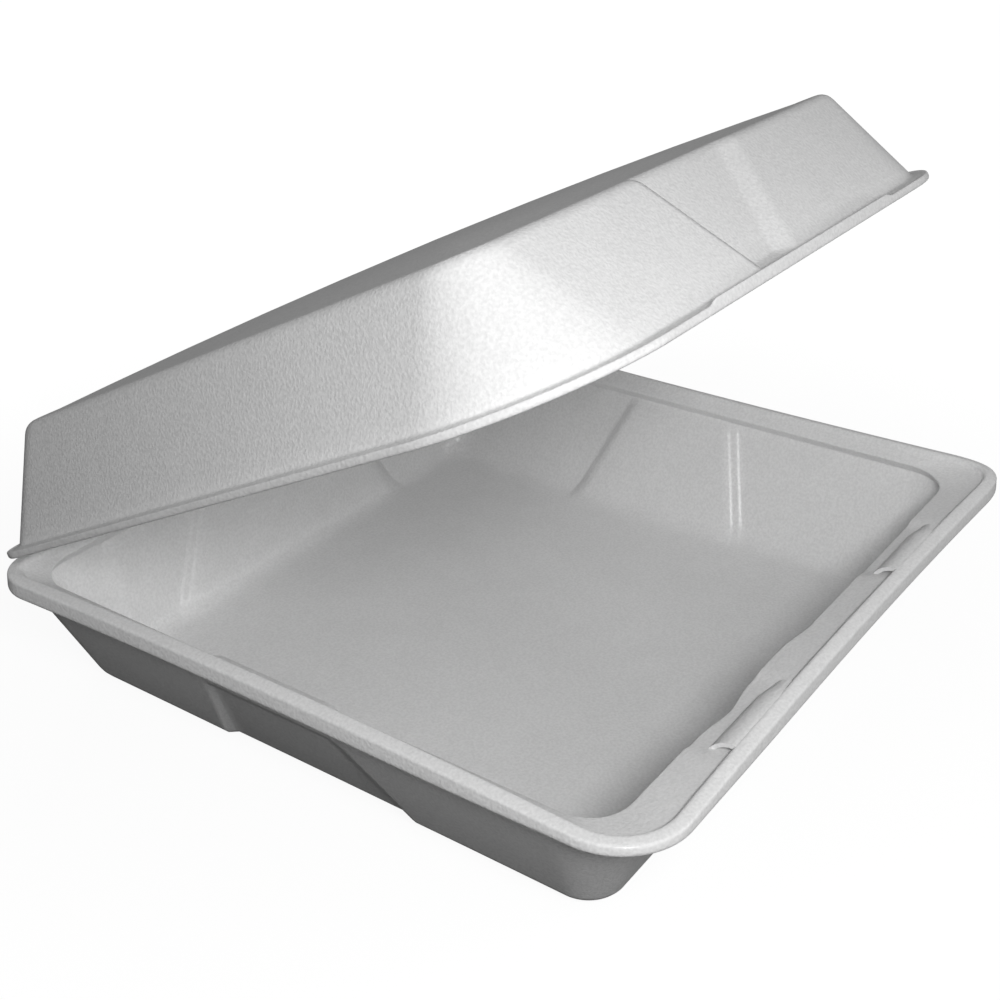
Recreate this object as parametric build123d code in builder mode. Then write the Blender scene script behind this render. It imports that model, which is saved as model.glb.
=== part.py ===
# Foam clamshell container: a square tray and a shallower lid, moulded as one sheet with a fold along
# the back rim. Millimetres, +Z up, the front towards -Y.
# The origin is the centre of the flat underside of the tray.
import os
from math import atan2, cos, radians, sin, tan

from build123d import *

os.makedirs("parts", exist_ok=True)

# Foam sheet
foam = 2.5
overrun = 5.0

# Tray: outside of the floor, and outside of the walls at the mouth
floor_half_width = 96.0
floor_front = 96.5
floor_back = 96.5
floor_corner = 10.0
floor_edge_round = 6.0
floor_inner_bevel = 2.5
mouth_half_width = 115.5
mouth_front = 112.0
mouth_back = 103.5
mouth_corner = 20.0
mouth_height = 38.2

# Upright shoulder and sloping ledge above the walls
shoulder_height = 42.0
ledge_height = 45.0
ledge_inset = 3.1

# Rolled rim of the tray, with bowed sides
rim_half_width = 121.5
rim_front = 124.0
rim_back = 105.5
rim_front_corner = 22.0
rim_back_corner = 14.0
rim_side_bow = 2.8
rim_front_bow = 2.5
rim_bottom = 41.8
rim_crest = 47.2
rim_bevel = 0.9
crest_width = 2.3
crest_bevel = 0.8

# Trapezoid panels pushed inward in the tray's walls
panel_depth = 2.5
panel_step_run = 1.6
side_panel_centre = -1.5
side_panel_floor_half = 34.5
side_panel_mouth_half = 20.0
back_panel_floor_half = 58.0
back_panel_mouth_half = 37.0
front_panel_floor_half = 30.0
front_panel_mouth_half = 10.0

# Two arched loops that bridge the front ledge, from the rim to the shoulder
loop_centre = 52.0
loop_length = 35.0
loop_front = 121.2
loop_crown = 117.1
loop_back = 110.2
loop_foot = 42.0
loop_front_height = 45.9
loop_crown_drop = 0.05
loop_skin = 1.3

# Fold along the back rim
fold_radius = 1.1
fold_half_length = 105.0
fold_gap = 0.2
closed_gap = 0.3
open_angle = 27.0

# Lid, measured shut, from the same origin
lid_rim_half_width = 119.2
lid_rim_front = 122.0
lid_rim_front_corner = 45.0
lid_rim_back_corner = 14.0
lid_rim_bevel = 0.8
lid_foot_half_width = 116.0
lid_foot_front = 118.6
lid_foot_back = 102.3
lid_foot_front_corner = 42.0
lid_foot_back_corner = 12.0
lid_top_half_width = 102.0
lid_top_front = 99.0
lid_top_back = 91.5
lid_top_corner = 13.0
lid_top_height = 82.5
lid_edge_round = 5.0
lid_inner_bevel = 2.0
lid_panel_depth = 2.6
lid_panel_step_run = 2.5
lid_panel_top_half = 28.0
lid_panel_rim_half = 9.0

# Front edge of the lid, thickened where it meets the tray's loops
lock_half_length = 53.0
lock_depth = 2.4
lock_rise = 1.2

# Values that follow from the sizes above
fold_height = rim_crest + closed_gap / 2
lid_bottom = closed_gap / 2
lid_rim_top = lid_bottom + foam
lid_top = lid_top_height - fold_height
lid_ceiling = lid_top - foam
lid_turn = radians(open_angle)
lid_plane = Plane(
    origin=(0, rim_back, fold_height),
    x_dir=(1, 0, 0),
    z_dir=(0, sin(lid_turn), cos(lid_turn)),
)
lid_axis = Axis(lid_plane.origin, lid_plane.z_dir)

# Outlines: half width, front, back, front corner and back corner
floor_outline = (floor_half_width, floor_front, floor_back, floor_corner, floor_corner)
mouth_outline = (mouth_half_width, mouth_front, mouth_back, mouth_corner, mouth_corner)
lid_foot_outline = (
    lid_foot_half_width,
    lid_foot_front + rim_back,
    lid_foot_back - rim_back,
    lid_foot_front_corner,
    lid_foot_back_corner,
)
lid_top_outline = (
    lid_top_half_width,
    lid_top_front + rim_back,
    lid_top_back - rim_back,
    lid_top_corner,
    lid_top_corner,
)


# An outline partway up a drafted wall
def partway(low, high, share):
    return tuple(a + (b - a) * share for a, b in zip(low, high))


# An outline moved inward all round
def inward(outline, inset):
    return tuple(size - inset for size in outline)


# A rectangle with rounded corners, placed by its four sides
def rounded_outline(plane, outline):
    half_width, front, back, front_corner, back_corner = outline
    with BuildSketch(plane) as sheet:
        with BuildLine():
            Polyline(
                (-half_width, -front),
                (half_width, -front),
                (half_width, back),
                (-half_width, back),
                close=True,
            )
        make_face()
        fillet(sheet.vertices().group_by(Axis.Y)[0], front_corner)
        fillet(sheet.vertices().group_by(Axis.Y)[-1], back_corner)
    return sheet.sketch


# The bowed outline of the tray's rim, moved inward all round
def rim_outline(plane, inset):
    half_width = rim_half_width - inset
    front = rim_front - inset
    back = rim_back - inset
    middle = (back - front) / 2
    with BuildSketch(plane) as sheet:
        with BuildLine():
            Line((half_width, back), (-half_width, back))
            ThreePointArc((-half_width, back), (-half_width + rim_side_bow, middle), (-half_width, -front))
            ThreePointArc((-half_width, -front), (0, -front + rim_front_bow), (half_width, -front))
            ThreePointArc((half_width, -front), (half_width - rim_side_bow, middle), (half_width, back))
        make_face()
        fillet(sheet.vertices().group_by(Axis.Y)[0], rim_front_corner - inset)
        fillet(sheet.vertices().group_by(Axis.Y)[-1], rim_back_corner - inset)
    return sheet.sketch


# A drafted block with a round on the edges of its closed end
def drafted_block(plane, closed, closed_outline, mouth, mouth_outline, edge_round):
    with BuildPart() as block:
        closed_face = rounded_outline(plane.offset(closed), closed_outline)
        mouth_face = rounded_outline(plane.offset(mouth), mouth_outline)
        loft([closed_face, mouth_face], ruled=True)
        ends = block.faces().sort_by(Axis(plane.origin, plane.z_dir))
        closed_end = ends[0] if closed < mouth else ends[-1]
        fillet(closed_end.edges(), edge_round)
    return block.part


# A drafted room with a bevel on the edges of its closed end
def drafted_room(plane, closed, closed_outline, mouth, mouth_outline, bevel):
    share = bevel / abs(mouth - closed)
    turn = closed + (mouth - closed) * share
    with BuildPart() as room:
        closed_face = rounded_outline(plane.offset(closed), inward(closed_outline, bevel))
        turn_face = rounded_outline(plane.offset(turn), partway(closed_outline, mouth_outline, share))
        mouth_face = rounded_outline(plane.offset(mouth), mouth_outline)
        loft([closed_face, turn_face, mouth_face], ruled=True)
    return room.part


# The wedge of a wall that a trapezoid panel pushes inward
def panel_wedge(wall, low, high, reaches, halves, depth, step_run):
    flare = step_run / depth * (depth + overrun)
    with BuildPart() as wedge:
        for level, reach, half in zip((low, high), reaches, halves):
            with BuildSketch(wall.offset(level)):
                with BuildLine():
                    Polyline(
                        (-half, reach - depth),
                        (half, reach - depth),
                        (half + flare, reach + overrun),
                        (-half - flare, reach + overrun),
                        close=True,
                    )
                make_face()
        loft(ruled=True)
    return wedge.part


# The tray's four panels, outside or inside the foam, up to a given height
def tray_wedges(skin, low, high):
    gain = skin * tan(atan2(panel_depth, panel_step_run) / 2)
    shares = (low / mouth_height, high / mouth_height)
    side_plane = Plane((0, side_panel_centre, 0), x_dir=(0, -1, 0))
    other_side = Plane((0, side_panel_centre, 0), x_dir=(0, 1, 0))
    front_plane = Plane((0, 0, 0), x_dir=(-1, 0, 0))
    walls = (
        (side_plane, floor_half_width, mouth_half_width, side_panel_floor_half, side_panel_mouth_half),
        (other_side, floor_half_width, mouth_half_width, side_panel_floor_half, side_panel_mouth_half),
        (front_plane, floor_front, mouth_front, front_panel_floor_half, front_panel_mouth_half),
        (Plane.XY, floor_back, mouth_back, back_panel_floor_half, back_panel_mouth_half),
    )
    wedges = []
    for wall, floor_reach, mouth_reach, floor_half, mouth_half in walls:
        reaches = [floor_reach + (mouth_reach - floor_reach) * share - skin for share in shares]
        halves = [floor_half + (mouth_half - floor_half) * share + gain for share in shares]
        wedges.append(panel_wedge(wall, low, high, reaches, halves, panel_depth, panel_step_run))
    return wedges


# Walls of the tray, outside or inside the foam, with their panels pushed in
def tray_block(skin, low, high, panel_high, shape, size):
    low_outline = inward(partway(floor_outline, mouth_outline, low / mouth_height), skin)
    high_outline = inward(partway(floor_outline, mouth_outline, high / mouth_height), skin)
    deep_low = inward(low_outline, panel_depth)
    deep_high = inward(high_outline, panel_depth)
    with BuildPart() as block:
        add(shape(Plane.XY, low, low_outline, high, high_outline, size))
        add(tray_wedges(skin, low, panel_high), mode=Mode.SUBTRACT)
        add(shape(Plane.XY, low, deep_low, high, deep_high, size))
    return block.part


# Room inside the tray: walls, shoulder, ledge and the cup of the rim
with BuildPart() as tray_room:
    add(tray_block(foam, foam, mouth_height, mouth_height, drafted_room, floor_inner_bevel))
    mouth_face = rounded_outline(Plane.XY.offset(mouth_height), inward(mouth_outline, foam))
    extrude(mouth_face, amount=shoulder_height - mouth_height)
    shoulder_face = rounded_outline(Plane.XY.offset(shoulder_height), inward(mouth_outline, foam))
    ledge_face = rim_outline(Plane.XY.offset(ledge_height), ledge_inset)
    cup_face = rim_outline(Plane.XY.offset(rim_crest - crest_bevel), crest_width)
    crest_face = rim_outline(Plane.XY.offset(rim_crest), crest_width - crest_bevel)
    loft([shoulder_face, ledge_face], ruled=True)
    loft([ledge_face, cup_face], ruled=True)
    loft([cup_face, crest_face], ruled=True)
    extrude(crest_face, amount=overrun)

# Arched loop from the rim to the shoulder, open at both ends
with BuildPart() as lock_loop:
    with BuildSketch(Plane.YZ.offset(loop_centre - loop_length / 2)):
        for skin, mode in ((0, Mode.ADD), (loop_skin, Mode.SUBTRACT)):
            back_foot = (-loop_back - skin, loop_foot)
            front_foot = (-loop_front + skin, loop_foot)
            front_top = (-loop_front + skin, loop_front_height - skin)
            with BuildLine():
                Polyline(back_foot, front_foot, front_top)
                ThreePointArc(front_top, (-loop_crown, rim_crest - loop_crown_drop - skin), back_foot)
            make_face(mode=mode)
    extrude(amount=loop_length)

# Tray
with BuildPart() as base:
    extrude(rim_outline(Plane.XY.offset(rim_bottom), 0), amount=rim_crest - rim_bottom)
    chamfer(base.faces().sort_by(Axis.Z)[0].edges(), rim_bevel)
    chamfer(base.faces().sort_by(Axis.Z)[-1].edges(), crest_bevel)
    add(tray_block(0, 0, mouth_height, mouth_height - foam, drafted_block, floor_edge_round))
    neck_face = rounded_outline(Plane.XY.offset(mouth_height), mouth_outline)
    extrude(neck_face, amount=shoulder_height - mouth_height)
    add(tray_room.part, mode=Mode.SUBTRACT)
    add(lock_loop.part)
    add(mirror(lock_loop.part, about=Plane.YZ, mode=Mode.PRIVATE))
    with BuildSketch(Plane.YZ.offset(-fold_half_length)):
        with Locations((rim_back, fold_height)):
            Circle(fold_radius)
    extrude(amount=2 * fold_half_length)
base.part.label = "base"
export_step(base.part, "parts/base.step")


# Walls of the lid, outside or inside the foam, with the front panel pushed in
def lid_block(skin, low, high, panel_low, shape, size):
    height = lid_top - lid_bottom
    shares = ((low - lid_bottom) / height, (high - lid_bottom) / height)
    outlines = [inward(partway(lid_foot_outline, lid_top_outline, share), skin) for share in shares]
    deep = [(width, front - lid_panel_depth, *rest) for width, front, *rest in outlines]
    gain = skin * tan(atan2(lid_panel_depth, lid_panel_step_run) / 2)
    wall = Plane(lid_plane.origin, x_dir=(-1, 0, 0), z_dir=lid_plane.z_dir)
    panel_shares = ((panel_low - lid_bottom) / height, shares[1])
    reaches = []
    halves = []
    for share in panel_shares:
        reaches.append(partway(lid_foot_outline, lid_top_outline, share)[1] - skin)
        halves.append(lid_panel_rim_half + (lid_panel_top_half - lid_panel_rim_half) * share + gain)
    with BuildPart() as block:
        add(shape(lid_plane, high, outlines[1], low, outlines[0], size))
        add(
            panel_wedge(wall, panel_low, high, reaches, halves, lid_panel_depth, lid_panel_step_run),
            mode=Mode.SUBTRACT,
        )
        add(shape(lid_plane, high, deep[1], low, deep[0], size))
    return block.part


# Room inside the lid
with BuildPart() as lid_room:
    add(lid_block(foam, lid_bottom, lid_ceiling, lid_bottom, drafted_room, lid_inner_bevel))
    mouth_below = rounded_outline(lid_plane.offset(lid_bottom), inward(lid_foot_outline, foam))
    extrude(mouth_below, amount=-overrun)

# Lid
with BuildPart() as lid:
    lid_rim_outline = (
        lid_rim_half_width,
        lid_rim_front + rim_back,
        -fold_gap,
        lid_rim_front_corner,
        lid_rim_back_corner,
    )
    extrude(rounded_outline(lid_plane.offset(lid_bottom), lid_rim_outline), amount=foam)
    chamfer(lid.edges().group_by(lid_axis)[0], lid_rim_bevel)
    chamfer(lid.edges().group_by(lid_axis)[-1], lid_rim_bevel)
    add(lid_block(0, lid_bottom, lid_top, lid_rim_top, drafted_block, lid_edge_round))
    with BuildSketch(lid_plane.offset(lid_bottom)):
        with Locations((0, lock_depth / 2 - lid_rim_front - rim_back)):
            Rectangle(2 * lock_half_length, lock_depth)
    extrude(amount=foam + lock_rise)
    add(lid_room.part, mode=Mode.SUBTRACT)
    with BuildSketch(Plane.YZ.offset(-lid_rim_half_width)):
        with Locations((rim_back, fold_height)):
            Circle(fold_radius + fold_gap)
    extrude(amount=2 * lid_rim_half_width, mode=Mode.SUBTRACT)
lid.part.label = "lid"
export_step(lid.part, "parts/lid.step")
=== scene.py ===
import math
import bpy
import numpy as np
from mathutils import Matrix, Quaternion, Vector


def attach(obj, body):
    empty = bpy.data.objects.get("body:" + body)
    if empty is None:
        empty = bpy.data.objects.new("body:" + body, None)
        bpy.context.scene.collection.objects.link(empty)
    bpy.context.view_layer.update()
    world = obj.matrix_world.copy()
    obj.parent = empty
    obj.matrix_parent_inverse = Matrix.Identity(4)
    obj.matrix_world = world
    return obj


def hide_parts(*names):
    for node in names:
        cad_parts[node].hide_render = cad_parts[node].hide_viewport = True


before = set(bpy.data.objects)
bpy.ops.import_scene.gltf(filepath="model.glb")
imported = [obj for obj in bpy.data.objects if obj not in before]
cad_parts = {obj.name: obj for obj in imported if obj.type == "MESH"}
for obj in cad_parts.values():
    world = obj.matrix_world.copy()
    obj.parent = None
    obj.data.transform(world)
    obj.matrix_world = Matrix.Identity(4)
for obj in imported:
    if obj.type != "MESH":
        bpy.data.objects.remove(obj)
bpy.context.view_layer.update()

# camera at the photograph's viewing angle
cameraSet = {
    "place": (-0.33998, -0.24082, 0.27141),
    "aim": (0.00591, 0.00681, 0.045),
    "roll": -0.43,        # degrees
    "lens": 52.94,        # mm
    "sensor": 36.0,       # mm
    "clipStart": 0.01,
}


def makeCamera(values):
    data = bpy.data.cameras.new("photoCamera")
    data.lens = values["lens"]
    data.sensor_width = values["sensor"]
    data.clip_start = values["clipStart"]
    cam = bpy.data.objects.new("photoCamera", data)
    bpy.context.scene.collection.objects.link(cam)
    place = Vector(values["place"])
    cam.location = place
    look = (Vector(values["aim"]) - place).to_track_quat("-Z", "Y")
    cam.rotation_mode = "QUATERNION"
    cam.rotation_quaternion = look @ Quaternion((0, 0, 1), math.radians(values["roll"]))
    bpy.context.scene.camera = cam


makeCamera(cameraSet)


# sets a socket, or links it where the value is another node's output
def feed(tree, socket, value):
    if isinstance(value, bpy.types.NodeSocket):
        tree.links.new(value, socket)
    else:
        socket.default_value = value


def mathNode(tree, operation, *values):
    node = tree.nodes.new("ShaderNodeMath")
    node.operation = operation
    for socket, value in zip(node.inputs, values):
        feed(tree, socket, value)
    return node.outputs["Value"]


def rangeNode(tree, value, fromEnds, toEnds, kind="LINEAR"):
    node = tree.nodes.new("ShaderNodeMapRange")
    node.interpolation_type = kind
    feed(tree, node.inputs["Value"], value)
    for name, end in zip(("From Min", "From Max", "To Min", "To Max"), fromEnds + toEnds):
        feed(tree, node.inputs[name], end)
    return node.outputs["Result"]


# a soft lamp beside the camera, weaker ones in front and behind, a dim world, and a floor that
# looks white but throws little light back
studioSet = {
    "lamps": {            # place, size in m, power in W
        "softKey": ((-0.30, -0.30, 0.32), 0.12, 1.30),
        "frontFill": ((0.12, -0.36, 0.20), 0.12, 0.15),
        "backFill": ((0.35, 0.45, 0.40), 0.25, 0.30),
    },
    "lampAim": (0.02, -0.02, 0.05),
    "worldLight": 0.18,
    "floorHalf": 4.0,
    "floorDrop": 0.0002,
    "floorColour": (0.10, 0.10, 0.10, 1.0),
    "floorRoughness": 0.9,
    "floorGlow": (0.93, 1.0),     # near the object, and further off
    "glowReach": (0.12, 0.45),    # m from the middle, over which it rises
}


# 1 for rays that show the background: straight to the camera, mirrored or seen through
def backdropRay(tree):
    path = tree.nodes.new("ShaderNodeLightPath")
    total = path.outputs["Is Camera Ray"]
    for name in ("Is Glossy Ray", "Is Transmission Ray"):
        total = mathNode(tree, "MAXIMUM", total, path.outputs[name])
    return total


def makeLamp(name, place, aim, size, power):
    data = bpy.data.lights.new(name, "AREA")
    data.shape = "DISK"
    data.size = size
    data.energy = power
    lamp = bpy.data.objects.new(name, data)
    bpy.context.scene.collection.objects.link(lamp)
    lamp.location = place
    lamp.rotation_mode = "QUATERNION"
    lamp.rotation_quaternion = (Vector(aim) - Vector(place)).to_track_quat("-Z", "Y")
    lamp.visible_camera = False


def makeWorld(values):
    world = bpy.data.worlds.new("studioWorld")
    bpy.context.scene.world = world
    world.use_nodes = True
    tree = world.node_tree
    back = tree.nodes["Background"]
    back.inputs["Color"].default_value = (1, 1, 1, 1)
    level = rangeNode(tree, backdropRay(tree), (0.0, 1.0), (values["worldLight"], 1.0))
    tree.links.new(level, back.inputs["Strength"])


def makeFloor(values):
    half = values["floorHalf"]
    corners = [(-half, -half, 0), (half, -half, 0), (half, half, 0), (-half, half, 0)]
    mesh = bpy.data.meshes.new("whiteFloor")
    mesh.from_pydata(corners, [], [(0, 1, 2, 3)])
    floor = bpy.data.objects.new("whiteFloor", mesh)
    floor.location.z = -values["floorDrop"]
    bpy.context.scene.collection.objects.link(floor)
    paint = bpy.data.materials.new("whiteFloor")
    paint.use_nodes = True
    tree = paint.node_tree
    shader = tree.nodes["Principled BSDF"]
    shader.inputs["Base Color"].default_value = values["floorColour"]
    shader.inputs["Roughness"].default_value = values["floorRoughness"]
    shader.inputs["Specular IOR Level"].default_value = 0.0
    shader.inputs["Emission Color"].default_value = (1, 1, 1, 1)
    place = tree.nodes.new("ShaderNodeTexCoord")
    away = tree.nodes.new("ShaderNodeVectorMath")
    away.operation = "LENGTH"
    tree.links.new(place.outputs["Object"], away.inputs[0])
    reach, ends = values["glowReach"], values["floorGlow"]
    rise = rangeNode(tree, away.outputs["Value"], reach, ends, "SMOOTHSTEP")
    glow = mathNode(tree, "MULTIPLY", backdropRay(tree), rise)
    tree.links.new(glow, shader.inputs["Emission Strength"])
    mesh.materials.append(paint)


for lampName, (lampPlace, lampSize, lampPower) in studioSet["lamps"].items():
    makeLamp(lampName, lampPlace, studioSet["lampAim"], lampSize, lampPower)
makeWorld(studioSet)
makeFloor(studioSet)
print("camera and studio set")

# white foam sheet: a satin skin with a fine cell grain
foamSet = {
    "colour": (0.87, 0.87, 0.87, 1.0),
    "roughness": 0.48,
    "coat": 0.9,                  # facing the eye; none edge on
    "coatFade": (0.35, 0.85),     # facing values over which it goes
    "coatRoughness": 0.25,
    "dullest": 0.35,              # share of the coat left on the lowest cells
    "cellSize": 0.0009,           # m
    "cellDepth": 0.5,
    "bumpDistance": 0.0003,       # m
    "grain": 0.12,
    "mottleSize": 0.014,          # m
    "mottle": 0.02,
    "noiseEnds": (0.3, 0.7),      # most of a noise lies between these
}


# cells of the foam as a height, and a tone from the cells and from a slow change
def grainGroup(noiseEnds):
    group = bpy.data.node_groups.new("foamGrain", "ShaderNodeTree")
    for name in ("Cell Size", "Grain", "Mottle Size", "Mottle"):
        group.interface.new_socket(name, in_out="INPUT", socket_type="NodeSocketFloat")
    for name in ("Height", "Tone"):
        group.interface.new_socket(name, in_out="OUTPUT", socket_type="NodeSocketFloat")
    given = group.nodes.new("NodeGroupInput").outputs
    result = group.nodes.new("NodeGroupOutput").inputs
    place = group.nodes.new("ShaderNodeTexCoord").outputs["Object"]

    def noise(size):
        node = group.nodes.new("ShaderNodeTexNoise")
        node.inputs["Detail"].default_value = 1.0
        group.links.new(place, node.inputs["Vector"])
        group.links.new(mathNode(group, "DIVIDE", 1.0, size), node.inputs["Scale"])
        return node.outputs["Fac"]

    def darken(value, amount):
        lowest = mathNode(group, "SUBTRACT", 1.0, amount)
        return rangeNode(group, value, noiseEnds, (lowest, 1.0))

    cells, cloud = noise(given["Cell Size"]), noise(given["Mottle Size"])
    tones = darken(cells, given["Grain"]), darken(cloud, given["Mottle"])
    group.links.new(cells, result["Height"])
    group.links.new(mathNode(group, "MULTIPLY", *tones), result["Tone"])
    return group


def makeFoam(values):
    foam = bpy.data.materials.new("foamSkin")
    foam.use_nodes = True
    tree = foam.node_tree
    nodes, links = tree.nodes, tree.links
    shader = nodes["Principled BSDF"]
    shader.inputs["Roughness"].default_value = values["roughness"]
    shader.inputs["Coat Roughness"].default_value = values["coatRoughness"]
    shader.inputs["Specular IOR Level"].default_value = 0.0   # the skin's gloss is all in the coat
    grain = nodes.new("ShaderNodeGroup")
    grain.node_tree = grainGroup(values["noiseEnds"])
    grain.inputs["Cell Size"].default_value = values["cellSize"]
    grain.inputs["Grain"].default_value = values["grain"]
    grain.inputs["Mottle Size"].default_value = values["mottleSize"]
    grain.inputs["Mottle"].default_value = values["mottle"]
    paint = nodes.new("ShaderNodeMix")
    paint.data_type = "RGBA"
    paint.blend_type = "MULTIPLY"
    paint.inputs["Factor"].default_value = 1.0
    paint.inputs["A"].default_value = values["colour"]
    links.new(grain.outputs["Tone"], paint.inputs["B"])
    links.new(paint.outputs["Result"], shader.inputs["Base Color"])
    bump = nodes.new("ShaderNodeBump")
    bump.inputs["Strength"].default_value = values["cellDepth"]
    bump.inputs["Distance"].default_value = values["bumpDistance"]
    links.new(grain.outputs["Height"], bump.inputs["Height"])
    links.new(bump.outputs["Normal"], shader.inputs["Normal"])

    # the gloss is broken up by the cells too
    facing = nodes.new("ShaderNodeLayerWeight").outputs["Facing"]
    gloss = rangeNode(tree, facing, values["coatFade"], (values["coat"], 0.0))
    left = (values["dullest"], 1.0)
    sparkle = rangeNode(tree, grain.outputs["Height"], values["noiseEnds"], left)
    links.new(mathNode(tree, "MULTIPLY", gloss, sparkle), shader.inputs["Coat Weight"])
    return foam


foam = makeFoam(foamSet)
print("foam material made")

# every ring of a shell has the same points: four sides in five runs each, and four corners
cornerSegs = 20
runSegs = (36, 8, 16, 8, 36)
evenBend = 0.25
mm = 0.001


def smooth(t):
    t = np.clip(t, 0, 1)
    return t * t * (3 - 2 * t)


# a panel's step: evenBend is one even slope, more makes two steeper ones with a strip between them
def stepped(t, bend):
    return float(np.interp(t, (0, 0.25, 0.75, 1), (0, bend, 1 - bend, 1)))


# 1 between low and high with soft ends
def window(value, low, high, soft):
    return smooth((value - low) / soft + 0.5) * smooth((high - value) / soft + 0.5)


# outlines are half width, front, back, front corner and back corner
# panels are centre, half length, step runs before and after, depth and bend, for the front, right,
# back and left
def makeRing(outline, height, panels, fades=(1, 1, 1, 1), bow=(0, 0)):
    half, front, back, frontCorner, backCorner = outline
    sides = (
        ((0, -front), (1, 0), (0, 1), half - frontCorner, half - frontCorner),
        ((half, 0), (0, 1), (-1, 0), front - frontCorner, back - backCorner),
        ((0, back), (-1, 0), (0, -1), half - backCorner, half - backCorner),
        ((-half, 0), (0, -1), (1, 0), back - backCorner, front - frontCorner),
    )
    corners = (
        (half - frontCorner, -front + frontCorner, frontCorner, -90),
        (half - backCorner, back - backCorner, backCorner, 0),
        (-half + backCorner, back - backCorner, backCorner, 90),
        (-half + frontCorner, -front + frontCorner, frontCorner, 180),
    )
    points = []
    for side, corner, panel, fade in zip(sides, corners, panels, fades):
        middle, along, inward, before, after = side
        centre, panelHalf, run, depth, bend = panel
        marks = (-before, centre - panelHalf - run[0], centre - panelHalf,
                 centre + panelHalf, centre + panelHalf + run[1], after)
        pushes = ((0, 0), (0, 1), (1, 1), (1, 0), (0, 0))
        for segs, low, high, push in zip(runSegs, marks[:-1], marks[1:], pushes):
            for k in range(segs):
                s = low + (high - low) * k / segs
                d = depth * fade * (push[0] + (push[1] - push[0]) * stepped(k / segs, bend))
                points.append((middle[0] + along[0] * s + inward[0] * d,
                               middle[1] + along[1] * s + inward[1] * d))
        cx, cy, radius, first = corner
        for k in range(cornerSegs):
            turn = math.radians(first + 90 * k / cornerSegs)
            points.append((cx + radius * math.cos(turn), cy + radius * math.sin(turn)))
    ring = np.array(points)
    if bow != (0, 0):   # sides drawn in between the corners
        x, y = ring[:, 0].copy(), ring[:, 1].copy()
        middle, reach = (back - front) / 2, (back + front) / 2
        ring[:, 0] = x - bow[0] * (1 - ((y - middle) / reach) ** 2) * x / half
        ring[:, 1] = y + bow[1] * (1 - (x / half) ** 2) * np.clip(-y / front, 0, 1)
    return np.column_stack((ring, np.full(len(ring), float(height))))


# rings that close a flat or domed end, from the edge towards the middle
def endRings(outline, height, dome, panels, shares=(1.0, 0.85, 0.65, 0.45, 0.25, 0.1)):
    half, front, back, frontCorner, backCorner = outline
    middle, reach = (back - front) / 2, (back + front) / 2
    rings = []
    for share in shares:
        size = (half * share, reach * share - middle, reach * share + middle,
                frontCorner * share, backCorner * share)
        row = []
        for panel in panels:
            centre, panelHalf, run = panel[:3]
            runs = (run[0] * share, run[1] * share)
            row.append((centre * share, panelHalf * share, runs, 0, evenBend))
        rings.append(makeRing(size, height + dome * (1 - share * share), row))
    return rings, (0, middle, height + dome)


# rounds the section at each key ring by that key's radius, or by most of the span beside it
def roundSection(keys, steps=6, most=0.48):
    rings = []
    for i, (ring, radius) in enumerate(keys):
        if i in (0, len(keys) - 1) or radius <= 0:
            rings.append(ring)
            continue
        ends = []
        for other in (keys[i - 1][0], keys[i + 1][0]):
            span = other - ring
            length = np.linalg.norm(span, axis=1, keepdims=True)
            ends.append(ring + span * np.minimum(most, radius / np.maximum(length, 1e-6)))
        for k in range(steps + 1):
            t = k / steps
            rings.append(ends[0] * (1 - t) ** 2 + ring * 2 * t * (1 - t) + ends[1] * t ** 2)
    return rings


def shellMesh(name, rings, firstPole, lastPole, flip, place=None):
    count = len(rings[0])
    points = [firstPole] + [tuple(p) for ring in rings for p in ring] + [lastPole]
    if place:
        points = [place(p) for p in points]
    last = len(points) - 1
    faces = []
    for j in range(count):
        n = (j + 1) % count
        faces.append((0, 1 + n, 1 + j))
        for i in range(len(rings) - 1):
            a, b = 1 + i * count, 1 + (i + 1) * count
            faces.append((a + j, a + n, b + n, b + j))
        top = 1 + (len(rings) - 1) * count
        faces.append((last, top + j, top + n))
    if flip:
        faces = [tuple(reversed(face)) for face in faces]
    mesh = bpy.data.meshes.new(name)
    mesh.from_pydata([tuple(c * mm for c in p) for p in points], [], faces)
    mesh.polygons.foreach_set("use_smooth", [True] * len(mesh.polygons))
    mesh.materials.append(foam)
    mesh.update()
    shell = bpy.data.objects.new(name, mesh)
    bpy.context.scene.collection.objects.link(shell)
    return shell


def between(low, high, share):
    return tuple(a + (b - a) * share for a, b in zip(low, high))


def inset(outline, amount):
    return tuple(size - amount for size in outline)


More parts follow.
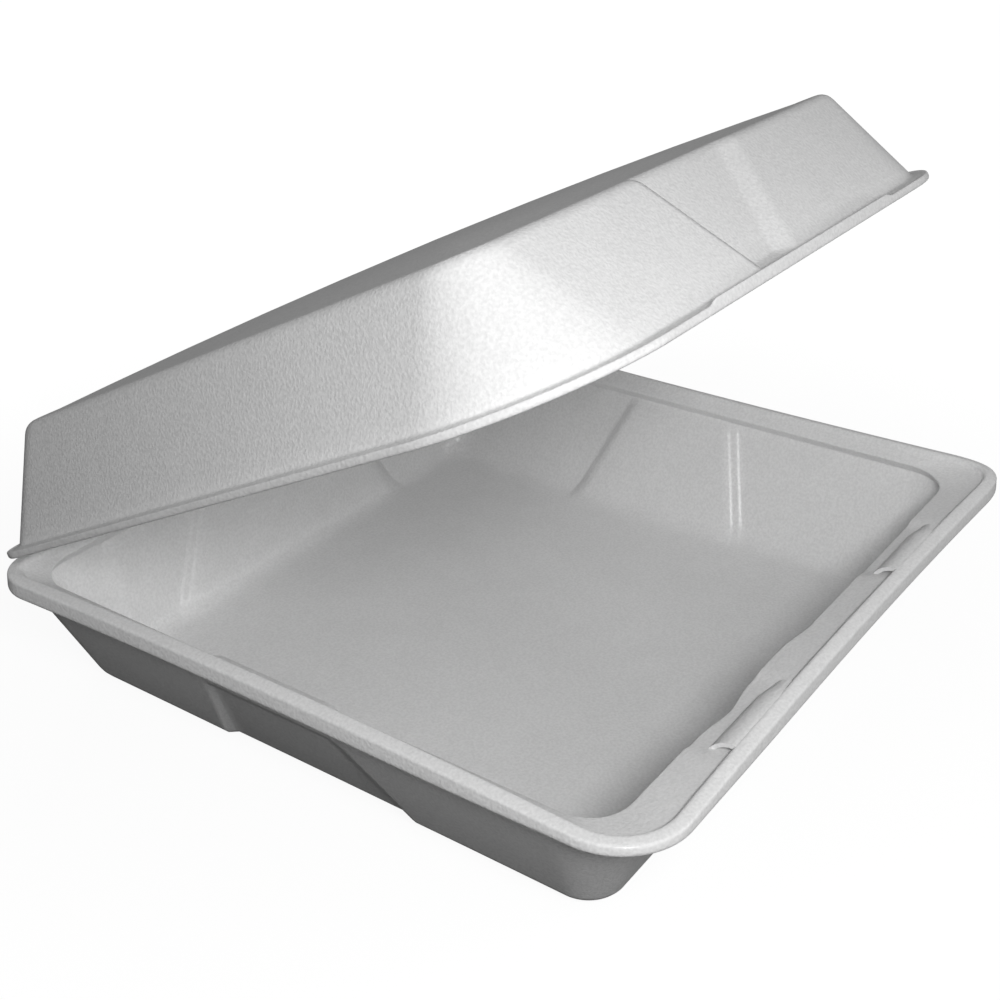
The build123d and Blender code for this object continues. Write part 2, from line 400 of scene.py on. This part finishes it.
# tray, in mm
traySet = {
    "foam": 2.5,
    "floor": (96.0, 96.5, 96.5, 10.0, 10.0),
    "underFlat": (80.0, 80.5, 80.5, 6.0, 6.0),     # flat part of the underside
    "insideFlat": (78.0, 78.5, 78.5, 6.0, 6.0),    # and of the floor inside
    "mouth": (115.5, 112.0, 103.5, 20.0, 20.0),
    "mouthHeight": 38.2,
    "wallTop": 2.0,              # the inside of the walls ends this far below the mouth
    "shoulderHeight": 42.8,
    "undercut": 2.6,             # the ledge overhangs the walls a little
    "undercutRise": 1.2,         # down to this height above the mouth
    "undercutSkin": 0.2,         # where the sheet is thinner
    "ledgeHeight": 45.4,
    "ledgeInset": 5.3,
    "rim": (121.5, 124.0, 105.5, 22.0, 14.0),
    "rimBow": (2.8, 2.5),
    "rimBottom": 41.2,
    "rimRoll": (0.4, 0.9),       # inset and height of the rim's rolled edges
    "rimCrest": 47.2,
    "crestInset": 3.9,
    "crestDrop": (0.6, 0.8),     # inner side of the crest, down and inward
    "cornerLift": 2.8,           # lower edge of the rim at the front left corner
    "liftReach": 45.0,
    "topLift": 0.2,              # share of the lift at the upper edge
    "cornerPull": 2.6,           # front right corner of the rim is drawn out
    "pullShare": 0.707,          # of it along x and along y
    "panelDepths": (2.5, 1.7, 1.7, 2.2),   # front, right, back, left
    "panelRuns": ((1.8, 1.8), (4.4, 1.2), (1.2, 4.4), (2.5, 3.5)),
    "panelBends": (0.25, 0.42, 0.42, 0.25),
    "panelEnd": (1.2, 1.0),      # a panel runs out over this much below and above its upper end
    "endFades": (1, 1, 1, 0.35),
    "insideFades": (0, 0, 0, 0.7),
    "sidePanel": (34.5, 20.0, -1.5),       # half length at the floor, at the mouth, centre
    "backPanel": (58.0, 37.0, 0.0),
    "frontPanel": (30.0, 10.0, 0.0),
    "frontLine": -80.0,          # the waves and pits lie in front of this
    "backLine": 70.0,            # and the ridge behind this
    "frontWaves": ((-102.0, -57.0), (-45.0, -10.0)),   # where the front shoulder swells inward
    "waveDepth": 1.7,
    "waveSoft": 16.0,
    "wallWave": 0.9,             # share of the swelling at the top of the wall
    "ridge": 1.6,
    "ridgePlace": -79.0,
    "ridgeWidth": (2.6, 16.0),   # steep on the left, gentle on the right
    "pits": (-52.0, 52.0),       # ledge sunk under the two loops
    "pitHalf": 19.0,
    "pitDepth": 1.6,
    "pitSoft": 3.0,
    "pitShares": (0.5, 0.6),     # at the ledge's outer and inner edge
    "floorRounds": (6.0, 7.0),   # outside and inside
    "panelEndRound": 0.8,
    "neckRounds": (0.6, 1.2),    # under the rim: at the mouth and at the rim
    "rimRounds": (0.5, 0.7, 0.8),
    "crestRounds": (1.2, 0.6),
    "ledgeRounds": (0.8, 1.1),
    "undercutRounds": (0.5, 0.6),
}


def trayPanels(values, height):
    share = max(0.0, min(1.0, height / values["mouthHeight"]))
    rows = []
    places = (("frontPanel", 1), ("sidePanel", 1), ("backPanel", 1), ("sidePanel", -1))
    steps = zip(places, values["panelRuns"], values["panelDepths"], values["panelBends"])
    for (name, way), run, depth, bend in steps:
        low, high, centre = values[name]
        rows.append((centre * way, low + (high - low) * share, run, depth, bend))
    return rows


def makeTray(values):
    mouthHeight, sheet = values["mouthHeight"], values["foam"]
    plain = (0, 0, 0, 0)

    def wall(height, skin, fades=(1, 1, 1, 1)):
        outline = inset(between(values["floor"], values["mouth"], height / mouthHeight), skin)
        return makeRing(outline, height, trayPanels(values, height), fades)

    def upright(height, skin, fades=plain):
        return makeRing(inset(values["mouth"], skin), height, trayPanels(values, height), fades)

    # the front shoulder swells inward in two places
    def waved(ring, share=1.0):
        x, front = ring[:, 0], ring[:, 1] < values["frontLine"]
        for low, high in values["frontWaves"]:
            swell = values["waveDepth"] * share * window(x, low, high, values["waveSoft"])
            ring[:, 1] += np.where(front, swell, 0)
        return ring

    # the ledge is sunk under the loops
    def pitted(ring, share):
        x, front = ring[:, 0], ring[:, 1] < values["frontLine"]
        for place in values["pits"]:
            low, high = place - values["pitHalf"], place + values["pitHalf"]
            depth = values["pitDepth"] * share * window(x, low, high, values["pitSoft"])
            ring[:, 2] -= np.where(front, depth, 0)
        return ring

    def rim(height, amount):
        outline = inset(values["rim"], amount)
        ring = makeRing(outline, height, trayPanels(values, mouthHeight), plain, values["rimBow"])
        cx, cy = outline[0] - outline[3], -outline[1] + outline[3]
        turn = np.arctan2(ring[:, 0] - cx, cy - ring[:, 1])
        near = (ring[:, 0] > cx) & (ring[:, 1] < cy)
        share = np.sin(2 * np.clip(turn, 0, math.pi / 2)) ** 2
        pull = np.where(near, values["cornerPull"] * share, 0)
        ring[:, 0] += pull * values["pullShare"]
        ring[:, 1] -= pull * values["pullShare"]
        return ring

    # the rim is lifted at the front left corner
    def lifted(ring, share=1.0):
        away = np.hypot(ring[:, 0] + values["rim"][0], ring[:, 1] + values["rim"][1])
        ring[:, 2] += values["cornerLift"] * share * np.exp(-(away / values["liftReach"]) ** 2)
        return ring

    # a soft ridge runs down the back wall beside its left corner
    def ridged(ring):
        away = ring[:, 0] - values["ridgePlace"]
        width = np.where(away < 0, values["ridgeWidth"][0], values["ridgeWidth"][1])
        height = values["ridge"] * np.exp(-(away / width) ** 2)
        ring[:, 1] -= np.where(ring[:, 1] > values["backLine"], height, 0)
        return ring

    bottom, crest = values["rimBottom"], values["rimCrest"]
    panelTop, (below, above) = mouthHeight - sheet, values["panelEnd"]
    rollInset, rollHeight = values["rimRoll"]
    crestFall, crestStep = values["crestDrop"]
    overhang = upright(values["shoulderHeight"], sheet + values["undercut"], values["insideFades"])
    hollow = upright(mouthHeight + values["undercutRise"], sheet - values["undercutSkin"],
                     values["insideFades"])
    bottomRings, bottomPole = endRings(values["underFlat"], 0, 0, trayPanels(values, 0))
    floorRings, floorPole = endRings(values["insideFlat"], sheet, 0, trayPanels(values, 0))

    # the section from the underside over the rim to the floor inside: each ring with its round
    keys = [
        (bottomRings[0], 0),
        (wall(0, 0), values["floorRounds"][0]),
        (wall(panelTop - below, 0, values["endFades"]), values["panelEndRound"]),
        (wall(panelTop + above, 0, plain), values["panelEndRound"]),
        (upright(mouthHeight, 0), values["neckRounds"][0]),
        (upright(bottom + rollInset, 0), values["neckRounds"][1]),
        (lifted(rim(bottom, rollInset)), values["rimRounds"][0]),
        (lifted(rim(bottom + rollHeight, 0)), values["rimRounds"][1]),
        (lifted(rim(crest - rollHeight, rollInset), values["topLift"]), values["rimRounds"][2]),
        (rim(crest, values["crestInset"]), values["crestRounds"][0]),
        (rim(crest - crestFall, values["crestInset"] + crestStep), values["crestRounds"][1]),
        (pitted(rim(values["ledgeHeight"], values["ledgeInset"]), values["pitShares"][0]),
         values["ledgeRounds"][0]),
        (pitted(waved(overhang), values["pitShares"][1]), values["ledgeRounds"][1]),
        (waved(hollow), values["undercutRounds"][0]),
        (ridged(waved(wall(mouthHeight - values["wallTop"], sheet), values["wallWave"])),
         values["undercutRounds"][1]),
        (ridged(wall(sheet, sheet)), values["floorRounds"][1]),
        (floorRings[0], 0),
    ]
    rings = list(reversed(bottomRings[1:])) + roundSection(keys) + floorRings[1:]
    return shellMesh("trayShell", rings, bottomPole, floorPole, False)


tray = makeTray(traySet)
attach(tray, "tray")
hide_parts("base")
print("tray made", len(tray.data.polygons))

# lid, in mm and degrees: measured shut, then turned open about the fold
lidSet = {
    "foam": 2.5,
    "foldY": 105.5,
    "foldZ": 47.35,
    "openAngle": 27.0,
    "bottom": 47.5,
    "rim": (119.2, 122.0, 104.2, 45.0, 14.0),
    "foot": (116.0, 118.6, 102.3, 42.0, 12.0),
    "top": (102.0, 99.0, 91.5, 13.0, 13.0),
    "topHeight": 82.5,
    "flatInsets": (8.0, 10.5),    # from the top's outline to its flat part, outside and inside
    "dome": 3.6,                  # rise of the top towards its middle
    "squeeze": (5.0, 7.0),        # right front leans in: at the rim, and more at the top
    "squeezeReach": (227.0, 110.0),   # depth and half width over which it grows
    "groove": 0.6,
    "grooveShare": 0.45,          # place of the groove between the foot and the rim's edge
    "frontLine": -80.0,           # the lock lies beyond this
    "lockHalf": 53.0,
    "lockRise": 1.2,
    "lockSoft": 3.0,
    "panelDepth": 3.0,
    "panelRun": (1.0, 6.0),       # a crease on the left, a slope on the right
    "panelRim": (-13.0, 5.0),     # centre and half length at the rim
    "panelTop": (-7.0, 23.0),     # and at the top
    "panelEnd": 1.4,              # height over which the panel runs out at the rim
    "panelFoot": 0.3,             # share of it left there
    "noPanel": (0, 30, (2, 2), 0, 0.25),   # the other walls have its points but no depth
    "edgeRounds": (3.4, 3.0),     # outside and inside
    "footRounds": (0.8, 0.6),
    "grooveRound": 0.6,
    "rimRounds": (1.0, 1.0),
    "mouthRounds": (1.2, 1.0),
}


def makeLid(values):
    bottom, top, sheet = values["bottom"], values["topHeight"], values["foam"]
    turn = math.radians(values["openAngle"])
    plain = (0, 0, 0, 0)

    def opened(p):
        x = p[0]
        rise = min(1.0, max(0.0, (p[2] - bottom) / (top - bottom)))
        if x > 0:
            lean = values["squeeze"][0] + values["squeeze"][1] * rise
            depth, width = values["squeezeReach"]
            x -= lean * smooth((values["foldY"] - p[1]) / depth) * smooth(x / width)
        y, z = p[1] - values["foldY"], p[2] - values["foldZ"]
        return (x, values["foldY"] + y * math.cos(turn) + z * math.sin(turn),
                values["foldZ"] - y * math.sin(turn) + z * math.cos(turn))

    def panels(height):
        share = max(0.0, min(1.0, (height - bottom) / (top - bottom)))
        centre, half = between(values["panelRim"], values["panelTop"], share)
        front = (centre, half, values["panelRun"], values["panelDepth"], evenBend)
        return (front,) + (values["noPanel"],) * 3

    def wall(height, skin, fade=1):
        share = (height - bottom) / (top - bottom)
        outline = inset(between(values["foot"], values["top"], share), skin)
        return makeRing(outline, height, panels(height), (fade,) * 4)

    def flange(height, share):
        outline = between(values["foot"], values["rim"], share)
        return makeRing(outline, height, panels(bottom), plain)

    # the rim stands taller along the middle of the front
    def locked(ring):
        lock = window(ring[:, 0], -values["lockHalf"], values["lockHalf"], values["lockSoft"])
        ring[:, 2] += np.where(ring[:, 1] < values["frontLine"], values["lockRise"] * lock, 0)
        return ring

    ceiling, rimTop = top - sheet, bottom + sheet
    outside, inside = (inset(values["top"], amount) for amount in values["flatInsets"])
    topRings, topPole = endRings(outside, top, values["dome"], panels(top))
    roofRings, roofPole = endRings(inside, ceiling, values["dome"], panels(top))

    # the section from the top over the rim to the ceiling inside: each ring with its round
    keys = [
        (topRings[0], 0),
        (wall(top, 0), values["edgeRounds"][0]),
        (wall(rimTop + values["panelEnd"], 0), values["footRounds"][0]),
        (wall(rimTop, 0, values["panelFoot"]), values["footRounds"][1]),
        (flange(rimTop - values["groove"], values["grooveShare"]), values["grooveRound"]),
        (locked(flange(rimTop, 1.0)), values["rimRounds"][0]),
        (flange(bottom, 1.0), values["rimRounds"][1]),
        (wall(bottom, sheet, 0), values["mouthRounds"][0]),
        (wall(bottom + values["panelEnd"], sheet), values["mouthRounds"][1]),
        (wall(ceiling, sheet), values["edgeRounds"][1]),
        (roofRings[0], 0),
    ]
    rings = list(reversed(topRings[1:])) + roundSection(keys) + roofRings[1:]
    return shellMesh("lidShell", rings, topPole, roofPole, True, opened)


lid = makeLid(lidSet)
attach(lid, "cover")
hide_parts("lid")
print("lid made", len(lid.data.polygons))


# runs a node tree on an empty mesh, with its inputs set by identifier, and keeps the plain mesh
def bakeTree(name, tree, values, sharpAngle=45):
    piece = bpy.data.objects.new(name, bpy.data.meshes.new(name))
    bpy.context.scene.collection.objects.link(piece)
    build = piece.modifiers.new("build", "NODES")
    build.node_group = tree
    for item in tree.interface.items_tree:
        if item.item_type == "SOCKET" and item.in_out == "INPUT":
            build[item.identifier] = values[item.name]
    bpy.context.view_layer.update()
    done = piece.evaluated_get(bpy.context.evaluated_depsgraph_get())
    mesh = bpy.data.meshes.new_from_object(done)
    piece.modifiers.remove(build)
    piece.data = mesh
    mesh.polygons.foreach_set("use_smooth", [True] * len(mesh.polygons))
    mesh.set_sharp_from_angle(angle=math.radians(sharpAngle))
    return piece


# a node tree with a mesh as its output; floats are the names of its number inputs
def newTree(name, floats):
    tree = bpy.data.node_groups.new(name, "GeometryNodeTree")
    tree.interface.new_socket("Geometry", in_out="OUTPUT", socket_type="NodeSocketGeometry")
    inputs = [(label, "NodeSocketFloat") for label in floats]
    inputs += [("Place", "NodeSocketVector"), ("Foam", "NodeSocketMaterial")]
    for label, kind in inputs:
        tree.interface.new_socket(label, in_out="INPUT", socket_type=kind)
    return tree, tree.nodes.new("NodeGroupInput").outputs, tree.nodes.new("NodeGroupOutput").inputs


# moves a tree's shape to its place, makes it one mesh and gives it the foam
def seatShape(tree, shape, given, result):
    seat = tree.nodes.new("GeometryNodeTransform")
    tree.links.new(shape, seat.inputs["Geometry"])
    tree.links.new(given["Place"], seat.inputs["Translation"])
    real = tree.nodes.new("GeometryNodeRealizeInstances")
    tree.links.new(seat.outputs["Geometry"], real.inputs["Geometry"])
    skin = tree.nodes.new("GeometryNodeSetMaterial")
    tree.links.new(real.outputs["Geometry"], skin.inputs["Geometry"])
    tree.links.new(given["Foam"], skin.inputs["Material"])
    tree.links.new(skin.outputs["Geometry"], result["Geometry"])


# a point on the x axis
def onX(tree, value):
    point = tree.nodes.new("ShaderNodeCombineXYZ")
    tree.links.new(value, point.inputs["X"])
    return point.outputs["Vector"]


# two arched loops that bridge the front ledge, in m and degrees; each sinks towards its right end
loopSet = {
    "Length": 0.035,
    "Spread": 0.052,
    "Radius": 0.0060,
    "Skin": 0.0012,
    "First": 118.0,
    "Last": 0.0,
    "Droop": 0.16,
    "Place": (0.0, -0.1172, 0.0398),
    "Foam": foam,
    "gridPoints": (29, 25),
    "sinkEnds": (0.2, 0.5),    # shares of the length from the middle
    "weld": 0.00001,
}


def loopTree(values):
    floats = ("Length", "Spread", "Radius", "Skin", "First", "Last", "Droop")
    tree, given, result = newTree("lockLoops", floats)
    nodes, links = tree.nodes, tree.links

    # a flat grid is bent into an arch: its x runs along the loop and its y over it
    grid = nodes.new("GeometryNodeMeshGrid")
    grid.inputs["Vertices X"].default_value = values["gridPoints"][0]
    grid.inputs["Vertices Y"].default_value = values["gridPoints"][1]
    here = nodes.new("ShaderNodeSeparateXYZ")
    links.new(nodes.new("GeometryNodeInputPosition").outputs["Position"], here.inputs["Vector"])
    ends = mathNode(tree, "RADIANS", given["First"]), mathNode(tree, "RADIANS", given["Last"])
    turn = rangeNode(tree, here.outputs["Y"], (-0.5, 0.5), ends)
    sunk = (0.0, given["Droop"])
    sink = rangeNode(tree, here.outputs["X"], values["sinkEnds"], sunk, "SMOOTHSTEP")
    radius = mathNode(tree, "MULTIPLY", given["Radius"], mathNode(tree, "SUBTRACT", 1.0, sink))
    arch = nodes.new("ShaderNodeCombineXYZ")
    links.new(mathNode(tree, "MULTIPLY", here.outputs["X"], given["Length"]), arch.inputs["X"])
    for axis, operation in (("Y", "COSINE"), ("Z", "SINE")):
        share = mathNode(tree, operation, turn)
        links.new(mathNode(tree, "MULTIPLY", radius, share), arch.inputs[axis])
    bend = nodes.new("GeometryNodeSetPosition")
    links.new(grid.outputs["Mesh"], bend.inputs["Geometry"])
    links.new(arch.outputs["Vector"], bend.inputs["Position"])

    # the skin grows outward from the arch, and the arch itself becomes the inside
    grow = nodes.new("GeometryNodeExtrudeMesh")
    grow.mode = "FACES"
    grow.inputs["Individual"].default_value = False
    links.new(bend.outputs["Geometry"], grow.inputs["Mesh"])
    links.new(given["Skin"], grow.inputs["Offset Scale"])
    inside = nodes.new("GeometryNodeFlipFaces")
    links.new(bend.outputs["Geometry"], inside.inputs["Mesh"])
    both = nodes.new("GeometryNodeJoinGeometry")
    links.new(grow.outputs["Mesh"], both.inputs["Geometry"])
    links.new(inside.outputs["Mesh"], both.inputs["Geometry"])
    weld = nodes.new("GeometryNodeMergeByDistance")
    weld.inputs["Distance"].default_value = values["weld"]
    links.new(both.outputs["Geometry"], weld.inputs["Geometry"])

    pair = nodes.new("GeometryNodeMeshLine")
    pair.inputs["Count"].default_value = 2
    start = mathNode(tree, "MULTIPLY", given["Spread"], -1.0)
    step = mathNode(tree, "MULTIPLY", given["Spread"], 2.0)
    links.new(onX(tree, start), pair.inputs["Start Location"])
    links.new(onX(tree, step), pair.inputs["Offset"])
    copies = nodes.new("GeometryNodeInstanceOnPoints")
    links.new(pair.outputs["Mesh"], copies.inputs["Points"])
    links.new(weld.outputs["Geometry"], copies.inputs["Instance"])
    seatShape(tree, copies.outputs["Instances"], given, result)
    return tree


loops = bakeTree("lockLoops", loopTree(loopSet), loopSet)
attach(loops, "tray")
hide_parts("base")
print("loops made", len(loops.data.polygons))

# bead of the fold along the back rim, in m
foldSet = {
    "Half Length": 0.105,
    "Radius": 0.0011,
    "Place": (0.0, 0.1055, 0.04735),
    "Foam": foam,
    "sides": 20,
}


def foldTree(values):
    tree, given, result = newTree("foldBead", ("Half Length", "Radius"))
    nodes, links = tree.nodes, tree.links
    line = nodes.new("GeometryNodeCurvePrimitiveLine")
    start = mathNode(tree, "MULTIPLY", given["Half Length"], -1.0)
    links.new(onX(tree, start), line.inputs["Start"])
    links.new(onX(tree, given["Half Length"]), line.inputs["End"])
    circle = nodes.new("GeometryNodeCurvePrimitiveCircle")
    circle.inputs["Resolution"].default_value = values["sides"]
    links.new(given["Radius"], circle.inputs["Radius"])
    rod = nodes.new("GeometryNodeCurveToMesh")
    rod.inputs["Fill Caps"].default_value = True
    links.new(line.outputs["Curve"], rod.inputs["Curve"])
    links.new(circle.outputs["Curve"], rod.inputs["Profile Curve"])
    seatShape(tree, rod.outputs["Mesh"], given, result)
    return tree


fold = bakeTree("foldBead", foldTree(foldSet), foldSet)
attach(fold, "tray")
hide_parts("base")
print("fold made", len(fold.data.polygons))

bpy.context.scene.view_settings.view_transform = "Standard"
